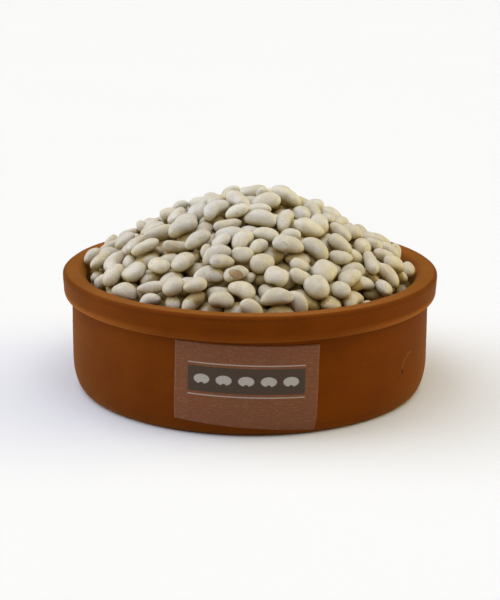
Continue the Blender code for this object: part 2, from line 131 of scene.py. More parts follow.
# Large beans laid at listed places: kind, x and y in millimetres, turn in degrees, length in millimetres.
HAND_LAID = (
    ("round", -24, -4, 60, 13.5),
    ("oval", -9, -10, -45, 16.5),
    ("oval", 6, -8, 15, 16),
    ("long", 15, -1, -15, 17),
    ("oval", -32, -14, 0, 14.5),
    ("long", -50, -18, -10, 17),
    ("long", -34, -25, 10, 16.5),
    ("oval", -31, -37, 20, 16),
    ("long", -11, -40, 8, 16.5),
    ("oval", -4, -46, 60, 14),
    ("long", -68, -22, 65, 18),
    ("round", -59, -45, -60, 14.5),
    ("long", -55, -31, -5, 16),
    ("round", -31, -52, 55, 13.5),
    ("long", -16, -54, 30, 16),
    ("oval", -41, -54, -10, 14),
    ("long", -24, -65, 8, 17),
    ("oval", -13, -63, 25, 13.5),
    ("oval", -6, -71, -25, 14.5),
    ("oval", -26, -71, -5, 12.5),
    ("oval", -19, -78, 0, 14),
    ("long", 9, -25, -12, 18),
    ("oval", 8, -34, -18, 14.5),
    ("oval", 10, -43, -18, 14),
    ("oval", 28, -31, 5, 17),
    ("long", 32, -42, -38, 16.5),
    ("round", 44, -20, -45, 14),
    ("long", 19, -51, 5, 17),
    ("round", 4, -64, 48, 13),
    ("round", 14, -70, -20, 12.5),
    ("round", 39, -56, 62, 15.5),
    ("round", 36, -70, -62, 14),
    ("oval", 25, -75, -62, 14.5),
    ("long", 15, -79, 8, 16.5),
    ("oval", 49, -57, 30, 14.5),
    ("oval", 48, -37, -5, 15),
    ("oval", 71, -15, 10, 14),
    ("long", 66, -42, -50, 16),
    ("oval", -76, 3, 30, 14),
    ("oval", -72, -39, 20, 15),
    ("oval", 75, -4, -20, 13.5),
    ("long", 73, -34, -45, 16),
    ("long", 80, -13, 25, 16.5),
    ("oval", -82, -12, 40, 14.5),
    ("oval", -79, -31, 15, 11.5),
    ("round", -84, 6, 0, 11),
)
# How beans are laid: how many at most, at how many places each is tried, the steps of settling in cells
# and radians, and how many may fail in a row before the heap is full.
BEAN_SEED = 11
MOST_BEANS = 900
PLACES = 400
TRIES = 60
SETTLING = ((2, 0.16), (1, 0.08))
SETTLING_TRIES = 24
MISSES_BEFORE_FULL = 30
# The height map: its cell, how many cells it reaches past the bowl's inside, how many each way a slope is
# read over, the steepest slope, the clearance of beans and how far past the lip's start they may lie.
CELL = 1.0 * MM
MAP_MARGIN = 14
SLOPE_CELLS = 6
STEEPEST = 1.6
WALL_CLEARANCE = 0.3 * MM
OVER_THE_LIP = 3.8 * MM
# How beans lie: the spreads of slope, and of roll and turn in radians. The listed beans turn less as
# they settle.
SLOPE_SPREAD = 0.2
ROLL_SPREAD = 0.22
WALL_TURN_SPREAD = 0.4
HAND_TURN_SPREAD = 0.12
HAND_TURN_SETTLING = 0.3
ON_EDGE_SHARE = 0.15
ON_EDGE_ROLL = (0.8, 1.4)
# Low places are tried first, within a spread, and space left under a bean counts against its pose.
DEPTH_SPREAD = 6.0 * MM
SPACE_WEIGHT = 1.3
# How far beans may stand over the outline, and how much of the listed ones they may cover.
UNDER_HAND_LAID = 4.5 * MM
HAND_LAID_OVER = 4.0 * MM
HAND_LAID_COVER = 0.45
MOST_OVER = 1.5 * MM
MOST_COVER = 0.12

# Each bean's own shape, drawn between two bounds: its share of its kind's bend, how blunt its ends are,
# how much wider one end is, how square its section is, and how deep its scar lies.
BEND_SHARE = (0.6, 1.7)
BLUNTNESS = (1.9, 2.5)
TAPER = (-0.15, 0.15)
SQUARENESS = (1.95, 2.35)
SCAR_DEPTH = (0.02, 0.07)
# How deep the hollow of a kidney is, and how far along the bean it and the scar reach, as shares of half
# the length. The scar's reach round the bean is in radians.
HOLLOWS = {"round": (0.0, 0.07), "oval": (0.02, 0.20), "long": (0.04, 0.24)}
HOLLOW_REACH = 0.42
SCAR_REACH = 0.17
SCAR_ANGLE = 0.24
SCAR_SHARE = 0.22
# How uneven the skin of smooth and of wrinkled beans is, and in how many waves.
SMOOTH = 0.009
WRINKLED = 0.026
WRINKLED_SHARE = 0.22
SKIN_WAVES = 5
# About a full turn, in radians, that waves start in.
TURN = 6.28
# Flats where beans dried against each other: how far out each starts, and how hard it is pressed in.
FLATS = 4
FLAT_START = (0.85, 1.0)
FLAT_PRESS = 0.55
# Points along a bean and round it, for one that shows on many cells of the height map and for the rest.
MANY_CELLS = 12
FINE_BEAN = (20, 22)
COARSE_BEAN = (10, 12)
# Beans deeper than this under the outline are left out unless they show.
HIDDEN_DEPTH = 13.0 * MM
# How far under the beans round it a spot is in full painted shadow.
SHADOW_DEPTH = 9.0 * MM
# The beans at the top are whiter, which is painted light: from where, over what height, and by how much.
TOP_LIGHT_FROM = 80.0 * MM
TOP_LIGHT_OVER = 16.0 * MM
TOP_LIGHT_BY = 0.11

# A pit and two cracks: the x and y of their beans in millimetres, and how far they lean in degrees. They
# are on beans that show on many cells, on the side towards the camera.
PITTED = ((-6, -71, -20),)
CRACKED = ((-16, -54, 35), (19, -51, -30))
MARKED_CELLS = 40
TOWARDS_CAMERA = (0.0, -0.9, 0.43)
MARK_FRONT = in_mm(-3.0, -1.5)
PIT_HALF_SIZES = in_mm(3.6, 2.1)
CRACK_BEND = 1.6 * MM
CRACK_WIDTH = 0.32 * MM
CRACK_ENDS = in_mm(1.0, 2.2)

# The colours of the beans' skin and marks, and of the painted shade on their narrow sides, undersides,
# deep places and pit edges.
SKIN = ((0.655, 0.595, 0.485), (0.72, 0.675, 0.603))
SKIN_CLOUD = (0.655, 0.578, 0.433)
SKIN_NARROW_SIDE_SHADE = (0.66, 0.56, 0.33)
SKIN_UNDERSIDE_SHADE = (0.57, 0.455, 0.18)
SKIN_GRAIN = (0.50, 0.43, 0.30)
SKIN_VEIN = (0.53, 0.44, 0.28)
SKIN_DEEP_SHADE = (0.45, 0.325, 0.115)
SKIN_SPECK = (0.20, 0.12, 0.05)
SCAR_RING = (0.50, 0.38, 0.22)
SCAR_MIDDLE = (0.66, 0.58, 0.42)
PIT_FLOOR = (0.45, 0.31, 0.16)
PIT_EDGE_SHADOW = (0.16, 0.09, 0.04)
CRACK = (0.14, 0.08, 0.04)

# The core under the loose beans, coloured as painted shade.
CORE_SEGMENTS = 96
CORE_RINGS = 24
CORE_CELLS = 95.0
CORE_SHADE = ((0.55, 0.48, 0.34), (0.16, 0.11, 0.05))

# The label, its sizes measured along the wall.
LABEL_WIDTH = 72.0 * MM
LABEL_HEIGHT = 43.0 * MM
LABEL_THICKNESS = 0.15 * MM
LABEL_LIFT = 0.12 * MM
LABEL_DROP = 23.0 * MM
LABEL_ANGLE = math.radians(-1.0)
LABEL_TILT = math.radians(1.5)
LABEL_FLARE = 0.06
LABEL_COLUMNS = 72
LABEL_ROWS = 44
# Its print, in millimetres on the film.
STRIP_UP = 3.0
STRIP_HALF_HEIGHT = 6.5
STRIP_HALF_WIDTH = 29.0
INK_EDGE = 0.2
RULE_GAP = 1.6
RULE_WIDTH = 0.45
# The row of printed beans: their spacing, how many spacings the row reaches either way, and of a bean
# and of the bite out of its lower edge the middle's height and half the width and height.
PRINT_STEP = 11.0
PRINT_REACH = 2.5
PRINTED_BEAN = (0.0, 3.9, 2.5)
PRINTED_BITE = (-2.7, 1.3, 1.1)

# The colours of the film and of its print.
FILM = ((0.172, 0.050, 0.0120), (0.222, 0.069, 0.020))
FILM_PATCH = (0.168, 0.064, 0.018)
FILM_CREASE = (0.55, 0.33, 0.20)
INK = (0.045, 0.032, 0.020)
RULE = (0.55, 0.50, 0.44)
PALE_INK = (0.50, 0.46, 0.42)

# The camera, fitted to the photograph's rim and base.
CAMERA_DISTANCE = 0.85
CAMERA_ELEVATION = math.radians(15.62)
CAMERA_TARGET = Vector((0.0, 0.0, 0.04404))
CAMERA_ROLL = math.radians(0.35)
CAMERA_LENS = 94.41
SENSOR_WIDTH = 36.0

# Wide soft lights: strength, colour, width, tilt away from overhead and compass turn, in degrees.
SUNS = {
    "sky_left": (1.22, (0.95, 0.96, 1.0), 60, 36, -112),
    "sky_right": (1.02, (1.0, 0.905, 0.70), 70, 34, 110),
    "overhead": (0.98, (0.94, 0.96, 1.0), 60, 25, 0),
    "side_left": (1.50, (0.95, 0.98, 1.0), 50, 80, -97),
    "side_right": (1.45, (1.0, 0.82, 0.16), 50, 80, 97),
}
SKY_STRENGTH = 0.07
FLOOR_HALF_SIZE = 9.0
FLOOR = ((0.885, 0.91, 0.99), (0.905, 0.93, 1.0))


# Node helpers.


def new_material(name):
    made = bpy.data.materials.new(name)
    made.use_nodes = True
    tree = made.node_tree
    return made, tree, tree.nodes["Principled BSDF"]


def feed(node, values):
    """Sets a node's inputs. An output is linked, and any other value is set on the input itself."""
    for name, value in values.items():
        socket = node.inputs[name]
        if isinstance(value, bpy.types.NodeSocket):
            node.id_data.links.new(value, socket)
        elif socket.type == "RGBA":
            socket.default_value = (*value, 1.0)
        else:
            socket.default_value = value


def add_to(tree, kind, inputs, output=0, **settings):
    """Adds a node with its inputs and settings, and returns one of its outputs."""
    node = tree.nodes.new(kind)
    for name, value in settings.items():
        setattr(node, name, value)
    feed(node, inputs)
    return node.outputs[output]


def add(kind, inputs, output=0, **settings):
    """Adds a node to the tree that its inputs come from."""
    trees = [value.id_data for value in inputs.values() if isinstance(value, bpy.types.NodeSocket)]
    return add_to(trees[0], kind, inputs, output, **settings)


def object_place(tree):
    return add_to(tree, "ShaderNodeTexCoord", {}, "Object")


def attribute(tree, name, output="Fac"):
    return add_to(tree, "ShaderNodeAttribute", {}, output, attribute_name=name)


def maths(operation, *values):
    return add("ShaderNodeMath", dict(enumerate(values)), operation=operation)


def times(value, *others):
    """The values multiplied together."""
    for other in others:
        value = maths("MULTIPLY", value, other)
    return value


def plus(a, b):
    return maths("ADD", a, b)


def minus(a, b):
    return maths("SUBTRACT", a, b)


def unsigned(value):
    return maths("ABSOLUTE", value)


def vector_maths(operation, *values, output="Vector"):
    return add("ShaderNodeVectorMath", dict(enumerate(values)), output, operation=operation)


def vector_length(vector):
    return vector_maths("LENGTH", vector, output="Value")


def axes(vector):
    """The x, y and z of a vector, as three outputs."""
    return tuple(add("ShaderNodeSeparateXYZ", {"Vector": vector}).node.outputs)


def ease(value, low, high):
    """Runs smoothly from 0 at low to 1 at high."""
    inputs = {"Value": value, "From Min": low, "From Max": high}
    return add("ShaderNodeMapRange", inputs, interpolation_type="SMOOTHSTEP")


def ease_off(value, low, high):
    """Runs smoothly from 1 at low to 0 at high."""
    return minus(1.0, ease(value, low, high))


def bell(value, centre, width):
    """1 at the centre, and 0 from the width on to both sides."""
    return ease_off(unsigned(minus(value, centre)), 0.0, width)


def between(value, low, high):
    """Takes 0 to 1 onto low to high."""
    return add("ShaderNodeMapRange", {"Value": value, "To Min": low, "To Max": high})


def oval_distance(x, y, centre_y, half_x, half_y):
    """How far out a point is from an oval's centre, 1 being on its edge."""
    x = maths("DIVIDE", x, half_x)
    y = maths("DIVIDE", minus(y, centre_y), half_y)
    return maths("SQRT", plus(times(x, x), times(y, y)))


def stretched(place, scale):
    return add("ShaderNodeMapping", {"Vector": place, "Scale": scale})


def noise(place, scale, detail=3.0, rough=0.5):
    inputs = {"Vector": place, "Scale": scale, "Detail": detail, "Roughness": rough}
    return add("ShaderNodeTexNoise", inputs)


def blend(factor, a, b, how="MIX"):
    """Mixes two colours."""
    inputs = {0: factor, 6: a, 7: b}
    return add("ShaderNodeMix", inputs, 2, data_type="RGBA", blend_type=how)


def layered(base, *layers):
    """Lays colours over the base one by one. Each has its mask and how strongly it shows."""
    for mask, share, colour in layers:
        base = blend(times(mask, share), base, colour)
    return base


def relief(distance, strength, *parts):
    """A bumpy normal. The parts' heights are added up, each times its share."""
    height = 0.0
    for value, share in parts:
        height = plus(height, times(value, share))
    return add("ShaderNodeBump", {"Height": height, "Distance": distance, "Strength": strength})


# Meshes.

# How one, three or four numbers are stored for a point.
STORED_AS = {1: ("FLOAT", "value"), 3: ("FLOAT_VECTOR", "vector"), 4: ("FLOAT_COLOR", "color")}


def directions(vectors):
    """The vectors brought to length 1."""
    return vectors / np.linalg.norm(vectors, axis=-1, keepdims=True)


def object_from(name, points, faces, mat):
    mesh = bpy.data.meshes.new(name)
    mesh.from_pydata(points, [], faces)
    mesh.materials.append(mat)
    mesh.shade_smooth()
    obj = bpy.data.objects.new(name, mesh)
    bpy.context.scene.collection.objects.link(obj)
    return obj


def store(mesh, name, values):
    """Stores a number, a vector or a colour for each point."""
    values = np.asarray(values, np.float32)
    kind, field = STORED_AS[values.size // len(values)]
    mesh.attributes.new(name, kind, "POINT").data.foreach_set(field, values.ravel())


def ring_faces(rings, sides):
    """Faces between rings of points, and from the end rings to two tips, which are the last points."""
    faces = []
    for i in range(rings - 1):
        low, high = i * sides, (i + 1) * sides
        for k in range(sides):
            n = (k + 1) % sides
            faces.append((low + k, high + k, high + n, low + n))
    low_tip, high_tip = rings * sides, rings * sides + 1
    last = (rings - 1) * sides
    for k in range(sides):
        n = (k + 1) % sides
        faces.append((low_tip, k, n))
        faces.append((high_tip, last + n, last + k))
    return faces


def arc(centre_r, centre_z, width, height, start, end, steps):
    """Points of an elliptical arc in the profile, its angles in degrees from the outward side."""
    angles = [math.radians(start + (end - start) * i / steps) for i in range(steps + 1)]
    return [(centre_r + width * math.cos(a), centre_z + height * math.sin(a)) for a in angles]


def outer_wall():
    """Profile of the wall's outside, from the foot up to the band's underside."""
    centre_r = WALL_RADIUS - CORNER_WIDTH
    corner = arc(centre_r, CORNER_HEIGHT, CORNER_WIDTH, CORNER_HEIGHT, -78, 0, 24)
    return [(FOOT_RADIUS, 0.0), *corner, (WALL_RADIUS - 0.2 * MM, BAND_BOTTOM)]


def bowl_profile():
    """(radius, height) points from the foot's centre up the outside, over the rim and down inside."""
    band_r = RIM_RADIUS - BAND_LEAN
    band_depth = BAND_LOWER_EDGE - BAND_BOTTOM
    underside = arc(WALL_RADIUS, BAND_LOWER_EDGE, band_r - WALL_RADIUS, band_depth, -80, 0, 10)
    outer = RIM_OUTER_ROUND
    shoulder = arc(RIM_RADIUS - outer, BOWL_HEIGHT - outer, outer, outer, 0, 90, 8)
    inner = RIM_INNER_ROUND
    lip = arc(RIM_RADIUS - RIM_WIDTH + inner, BOWL_HEIGHT - inner, inner, inner, 90, 180, 10)
    corner = INNER_CORNER_RADIUS
    floor = arc(INSIDE_RADIUS - corner, FLOOR_THICKNESS + corner, corner, corner, 0, -90, 16)
    return [(0.0, 0.0), *outer_wall(), *underside, *shoulder, *lip, *floor, (0.0, FLOOR_THICKNESS)]


def divided(points, step):
    """The same profile with its long stretches divided."""
    made = [points[0]]
    for (r0, z0), (r1, z1) in zip(points, points[1:]):
        parts = max(1, round(math.hypot(r1 - r0, z1 - z0) / step))
        made += [(r0 + (r1 - r0) * i / parts, z0 + (z1 - z0) * i / parts) for i in range(1, parts + 1)]
    return made


def waves(rng, angles, count, fastest):
    """A smooth random closed curve of about unit height."""
    turns = rng.integers(1, fastest + 1, count)
    starts = rng.uniform(0, 2 * math.pi, count)
    return sum(np.sin(n * angles + s) for n, s in zip(turns, starts)) / math.sqrt(count / 2) / 2


def turned(name, profile, segments, mat, worn=None):
    """Turns a profile about Z. worn(z, angles, along) gives how far each point is moved outward."""
    angles = np.arange(segments) * 2 * math.pi / segments
    along = np.concatenate([[0], np.cumsum([math.dist(a, b) for a, b in zip(profile, profile[1:])])])
    rings = np.array(profile[1:-1])
    ahead, behind = np.array(profile[2:]), np.array(profile[:-2])
    out = directions(np.stack([(ahead - behind)[:, 1], -(ahead - behind)[:, 0]], -1))
    shift = np.zeros((len(rings), segments))
    if worn:
        shift = worn(rings[:, 1:2], angles[None], along[1:-1, None])
    r = rings[:, 0:1] + out[:, 0:1] * shift
    z = rings[:, 1:2] + out[:, 1:2] * shift
    points = np.stack([r * np.sin(angles), -r * np.cos(angles), z], -1).reshape(-1, 3)
    ends = np.array([[0, 0, profile[0][1]], [0, 0, profile[-1][1]]])
    # The profile runs up the outside, so the faces are turned over to look outward.
    faces = [(first, *others[::-1]) for first, *others in ring_faces(len(rings), segments)]
    obj = object_from(name, np.concatenate([points, ends]).tolist(), faces, mat)
    store(obj.data, "along", np.concatenate([np.repeat(along[1:-1], segments), [0, along[-1]]]))
    return obj


def heap_outline(x, y):
    """Height of the heap's outline over a place."""
    spread = np.sqrt(x * x + y * y + HEAP_ROUNDING**2) - HEAP_ROUNDING
    from_peak = (x - PEAK_PLACE[0]) ** 2 + (y - PEAK_PLACE[1]) ** 2
    return HEAP_TOP - HEAP_SLOPE * spread + PEAK_HEIGHT * np.exp(-from_peak / (2 * PEAK_SPREAD**2))


def lip_height(r):
    """Height of the rim's rounded inner edge, where beans may lean on it."""
    from_edge = np.minimum(r - (RIM_RADIUS - RIM_WIDTH + RIM_INNER_ROUND), 0)
    return BOWL_HEIGHT - RIM_INNER_ROUND + np.sqrt(np.clip(RIM_INNER_ROUND**2 - from_edge**2, 0, None))


def draw_half_sizes(rng, kind, length=None):
    """Half of a bean's length, width and thickness."""
    _, usual, spread, width, thickness, _ = BEAN_KINDS[kind]
    long = length or usual + spread * float(np.clip(rng.normal(), -2.2, 2.2))
    wide = long * (width + rng.uniform(-0.05, 0.05))
    thick = long * (thickness + rng.uniform(-0.04, 0.04))
    return np.array([long, wide, thick]) / 2


def rotations(slopes, yaw, roll):
    """Rotation matrices whose columns are a bean's length, width and thickness directions."""
    normals = directions(np.stack([-slopes[:, 0], -slopes[:, 1], np.ones(len(yaw))], -1))
    flat = np.stack([np.cos(yaw), np.sin(yaw), np.zeros(len(yaw))], -1)
    along = directions(flat - (flat * normals).sum(-1, keepdims=True) * normals)
    side = np.cross(normals, along)
    c, s = np.cos(roll)[:, None], np.sin(roll)[:, None]
    return np.stack([along, c * side + s * normals, c * normals - s * side], -1)


class Pile:
    """Lays beans one by one on a height map, each in the best of many poses."""

    def __init__(self):
        self.rng = np.random.default_rng(BEAN_SEED)
        self.inside = INSIDE_RADIUS - WALL_CLEARANCE
        self.reach = int(math.ceil(self.inside / CELL)) + MAP_MARGIN
        axis = (np.arange(2 * self.reach + 1) - self.reach) * CELL
        self.x, self.y = np.meshgrid(axis, axis, indexing="ij")
        self.outline = heap_outline(self.x, self.y)
        from_axis = np.hypot(self.x, self.y)
        self.lip = from_axis > self.inside
        self.rim = from_axis > self.inside + OVER_THE_LIP
        lip = np.where(self.lip, lip_height(from_axis) + WALL_CLEARANCE, 0)
        self.ground = np.maximum(self.outline - BED_DEPTH, lip)
        self.owner = np.full(self.ground.shape, -1)
        self.by_hand = np.zeros(self.ground.shape, bool)
        self.beans = []

    def slopes_at(self, half, ix, iy):
        """Slope of the ground in x and y, averaged over a bean's length."""
        steps = np.arange(-SLOPE_CELLS, SLOPE_CELLS + 1)
        rows, cols = ix[:, None, None] + steps[:, None], iy[:, None, None] + steps
        dx, dy = steps[:, None] * CELL, steps[None, :] * CELL
        near = (np.hypot(dx, dy) <= half[0] * 0.9)[None] & ~self.lip[rows, cols]
        under = self.ground[rows, cols]
        mean = np.where(near, under, 0).sum((1, 2)) / (near.sum((1, 2)) + 1e-9)
        lift = np.where(near, under - mean[:, None, None], 0)
        down_x = (lift * dx).sum((1, 2)) / ((near * dx * dx).sum((1, 2)) + 1e-12)
        down_y = (lift * dy).sum((1, 2)) / ((near * dy * dy).sum((1, 2)) + 1e-12)
        return np.clip(np.stack([down_x, down_y], -1), -STEEPEST, STEEPEST)

    def best_rest(self, half, ix, iy, turn, limit, cover):
        """Lets an ellipsoid down at each place: the score of the best, its number and its footprint."""
        window = int(math.ceil(half[0] / CELL))
        steps = np.arange(-window, window + 1)
        dx, dy = np.meshgrid(steps * CELL, steps * CELL, indexing="ij")
        rows, cols = ix[:, None, None] + steps[:, None], iy[:, None, None] + steps
        under = self.ground[rows, cols]
        q = np.einsum("kia,a,kja->kij", turn, 1 / half**2, turn)[:, :, :, None, None]
        linear = q[:, 0, 2] * dx + q[:, 1, 2] * dy
        rest = q[:, 0, 0] * dx * dx + 2 * q[:, 0, 1] * dx * dy + q[:, 1, 1] * dy * dy - 1
        inside_root = linear * linear - q[:, 2, 2] * rest
        hit = inside_root > 0
        root = np.sqrt(np.where(hit, inside_root, 0)) / q[:, 2, 2]
        middle = -linear / q[:, 2, 2]
        height = np.where(hit, under - middle + root, -1).max((1, 2))[:, None, None]
        count = hit.sum((1, 2))
        space = np.where(hit, height + middle - root - under, 0).sum((1, 2)) / count
        over = np.where(hit, height + middle + root - self.outline[rows, cols], -1).max((1, 2))
        bad = (hit & self.rim[rows, cols]).any((1, 2)) | (over > limit)
        bad |= (hit & self.by_hand[rows, cols]).sum((1, 2)) > cover * count
        score = np.where(bad, np.inf, SPACE_WEIGHT * space + over)
        best = int(np.argmin(score))
        top = height[best] + middle[best] + root[best]
        return score[best], best, (rows[best], cols[best], hit[best], top, float(height[best, 0, 0]))

    def lay(self, kind, half, ix, iy, yaw, by_hand=False, limit=MOST_OVER, cover=MOST_COVER):
        """Lays one bean at the best of the places, if it fits at any, and says whether it did."""
        rng = self.rng
        slopes = self.slopes_at(half, ix, iy) + rng.normal(0, SLOPE_SPREAD, (len(ix), 2))
        roll = rng.normal(0, ROLL_SPREAD, len(ix))
        if not by_hand:
            on_edge = rng.uniform(0, 1, len(ix)) < ON_EDGE_SHARE
            roll = np.where(on_edge, rng.uniform(*ON_EDGE_ROLL, len(ix)), roll)
        score, best, place = self.best_rest(half, ix, iy, rotations(slopes, yaw, roll), limit, cover)
        if not np.isfinite(score):
            return False
        pose = (ix[best], iy[best], slopes[best], yaw[best], roll[best])
        turn_share = HAND_TURN_SETTLING if by_hand else 1.0
        for cells, angle in SETTLING:
            n = SETTLING_TRIES
            jx = pose[0] + rng.integers(-cells, cells + 1, n)
            jy = pose[1] + rng.integers(-cells, cells + 1, n)
            tilts = pose[2] + rng.normal(0, angle, (n, 2))
            yaws = pose[3] + rng.normal(0, angle * turn_share, n)
            rolls = pose[4] + rng.normal(0, angle, n)
            tried, best, found = self.best_rest(half, jx, jy, rotations(tilts, yaws, rolls), limit, cover)
            if tried < score:
                score, place = tried, found
                pose = (jx[best], jy[best], tilts[best], yaws[best], rolls[best])
        rows, cols, hit, top, height = place
        self.ground[rows, cols] = np.where(hit, top, self.ground[rows, cols])
        self.owner[rows, cols] = np.where(hit, len(self.beans), self.owner[rows, cols])
        self.by_hand[rows, cols] = np.where(hit, by_hand, self.by_hand[rows, cols])
        centre = np.array((self.x[pose[0], 0], self.y[0, pose[1]], height))
        turn = rotations(pose[2][None], np.array([pose[3]]), np.array([pose[4]]))[0]
        self.beans.append((kind, half, centre, turn))
        return True

    def fill(self, limit, cover):
        """Lays beans drawn at random until no more fit under the outline."""
        rng = self.rng
        kinds = list(BEAN_KINDS)
        shares = [BEAN_KINDS[kind][0] for kind in kinds]
        misses = 0
        while misses < MISSES_BEFORE_FULL and len(self.beans) < MOST_BEANS:
            kind = kinds[rng.choice(len(kinds), p=shares)]
            half = draw_half_sizes(rng, kind)
            r = (self.inside - half[2]) * np.sqrt(rng.uniform(0, 1, PLACES))
            a = rng.uniform(0, 2 * math.pi, PLACES)
            ix = np.rint(r * np.cos(a) / CELL).astype(int) + self.reach
            iy = np.rint(r * np.sin(a) / CELL).astype(int) + self.reach
            depth = self.ground[ix, iy] - self.outline[ix, iy] + rng.uniform(0, DEPTH_SPREAD, PLACES)
            low = np.argsort(depth)[:TRIES]
            along_wall = a[low] + math.pi / 2 + rng.normal(0, WALL_TURN_SPREAD, TRIES)
            yaw = np.where(r[low] > self.inside - half[0], along_wall, rng.uniform(0, math.pi, TRIES))
            laid = self.lay(kind, half, ix[low], iy[low], yaw, limit=limit, cover=cover)
            misses = 0 if laid else misses + 1

    def lay_by_hand(self):
        """Lays the large beans, each within a cell of its place."""
        rng = self.rng
        for kind, x, y, yaw, length in HAND_LAID:
            half = draw_half_sizes(rng, kind, length * MM)
            ix = round(x * MM / CELL) + self.reach + rng.integers(-1, 2, TRIES)
            iy = round(y * MM / CELL) + self.reach + rng.integers(-1, 2, TRIES)
            yaws = math.radians(yaw) + rng.normal(0, HAND_TURN_SPREAD, TRIES)
            self.lay(kind, half, ix, iy, yaws, True, HAND_LAID_OVER, HAND_LAID_COVER)

    def shown(self):
        """On how many cells of the map each bean shows."""
        return np.bincount(self.owner[self.owner >= 0], minlength=len(self.beans))


def laid_pile():
    """Beans below the listed ones, those, and then what still fits."""
    pile = Pile()
    pile.fill(-UNDER_HAND_LAID, 1.0)
    pile.lay_by_hand()
    pile.fill(MOST_OVER, MOST_COVER)
    return pile


# The beans.


def bean_grid(rings, sides):
    """Where a bean's points lie: along it from -1 to 1, and the angle round it. The tips are last."""
    along = -np.cos(math.pi * np.arange(1, rings) / rings)
    around = 2 * math.pi * np.arange(sides) / sides
    t, a = np.meshgrid(along, around, indexing="ij")
    return np.append(t.ravel(), [-1, 1]), np.append(a.ravel(), [0, 0])


def flattened(rng, points, half):
    """The bean's points with a few soft flats pressed into it."""
    unit = points / half
    for _ in range(FLATS):
        way = directions(rng.normal(0, 1, 3))
        beyond = np.clip(unit @ way - rng.uniform(*FLAT_START), 0, None)
        unit = unit - FLAT_PRESS * beyond[:, None] * way
    return unit * half


def bean_points(rng, kind, half, rings, sides):
    """Points of one bean in its own axes, how near each is to the scar where it hung in its pod, and
    how near to its narrow side."""
    bend = BEAN_KINDS[kind][5] * rng.uniform(*BEND_SHARE)
    t, a = bean_grid(rings, sides)
    # Blunt ends, one of them often narrower than the other.
    swell = np.sqrt(np.clip(1 - np.abs(t) ** rng.uniform(*BLUNTNESS), 0, 1))
    swell = swell * (1 + rng.uniform(*TAPER) * t)
    # A rounded box of a cross-section, flatter on its broad faces.
    squareness = rng.uniform(*SQUARENESS)
    c, s = np.cos(a), np.sin(a)
    reach = (np.abs(c) ** squareness + np.abs(s) ** squareness) ** (-1 / squareness)
    # The side with the scar is hollowed, as on a kidney.
    from_scar = np.abs(np.abs(a) - math.pi)
    hollow = rng.uniform(*HOLLOWS[kind]) * np.exp(-((t / HOLLOW_REACH) ** 2)) * ((1 - c) / 2) ** 3
    scar = np.exp(-((t / SCAR_REACH) ** 2) - (from_scar / SCAR_ANGLE) ** 2)
    dent = 1 - hollow - scar * rng.uniform(*SCAR_DEPTH)
    rough = WRINKLED if rng.uniform() < WRINKLED_SHARE else SMOOTH
    for _ in range(SKIN_WAVES):
        turns, ripples, start = rng.integers(1, 4), rng.uniform(1, 5), rng.uniform(0, TURN)
        dent = dent + rng.normal(0, rough) * np.sin(turns * a + ripples * t + start)
    x = half[0] * t
    y = half[1] * swell * reach * c * dent + bend * 2 * half[0] * (0.4 - t * t)
    z = half[2] * swell * reach * s * dent
    return flattened(rng, np.stack([x, y, z], -1), half), scar, np.abs(c) ** 3


def nearest_beans(pile, marks):
    """For each mark, the number of the bean that shows well and lies nearest to its place."""
    shown = pile.shown()
    found = {}
    for x, y, lean in marks:
        far = [math.hypot(bean[2][0] - x * MM, bean[2][1] - y * MM) for bean in pile.beans]
        far = np.where(shown > MARKED_CELLS, far, 1.0)
        found[int(np.argmin(far))] = lean
    return found


def mark_places(local, half, turn, lean):
    """Places of a bean's points round a mark on its side towards the camera; far off if it has none."""
    if lean is None:
        return np.full(local.shape, 1.0)
    face = turn.T @ np.array(TOWARDS_CAMERA) * half
    face = face / np.linalg.norm(face / half)
    normal = directions(face / half**2)
    along = turn.T @ np.array([math.cos(math.radians(lean)), 0.0, math.sin(math.radians(lean))])
    along = directions(along - normal * (along @ normal))
    off = local - face
    return np.stack([off @ along, off @ np.cross(normal, along), off @ normal], -1)


def shade_depth_in_heap(points, pile):
    """How deep each point lies under the beans round it, for painted shade: 0 at their tops, 1 at the
    shadow's depth.
    """
    level = np.where(pile.owner >= 0, pile.ground, 0)
    steps = ((0, 0), (2, 0), (-2, 0), (0, 2), (0, -2))
    for _ in range(3):
        around = np.mean([np.roll(level, step, (0, 1)) for step in steps], axis=0)
        level = np.maximum(level, around)
    ix = np.rint(points[:, 0] / CELL).astype(int) + pile.reach
    iy = np.rint(points[:, 1] / CELL).astype(int) + pile.reach
    return np.clip((level[ix, iy] - points[:, 2]) / SHADOW_DEPTH, 0, 1)


def bean_tone_and_top_light(rng, height):
    """The tint of one bean: most are cream, some yellower and some greyer, and the top ones whiter as
    painted light.
    """
    light = rng.normal(1.0, 0.035)
    warm = rng.normal(0.0, 0.025)
    top_light = TOP_LIGHT_BY * float(np.clip((height - TOP_LIGHT_FROM) / TOP_LIGHT_OVER, 0, 1))
    tint = [light + 0.3 * warm + 0.5 * top_light, light + 0.9 * top_light, light - 1.2 * warm + 1.7 * top_light]
    return np.clip(np.array([*tint, rng.uniform(0, 1)]), 0, 1.2)


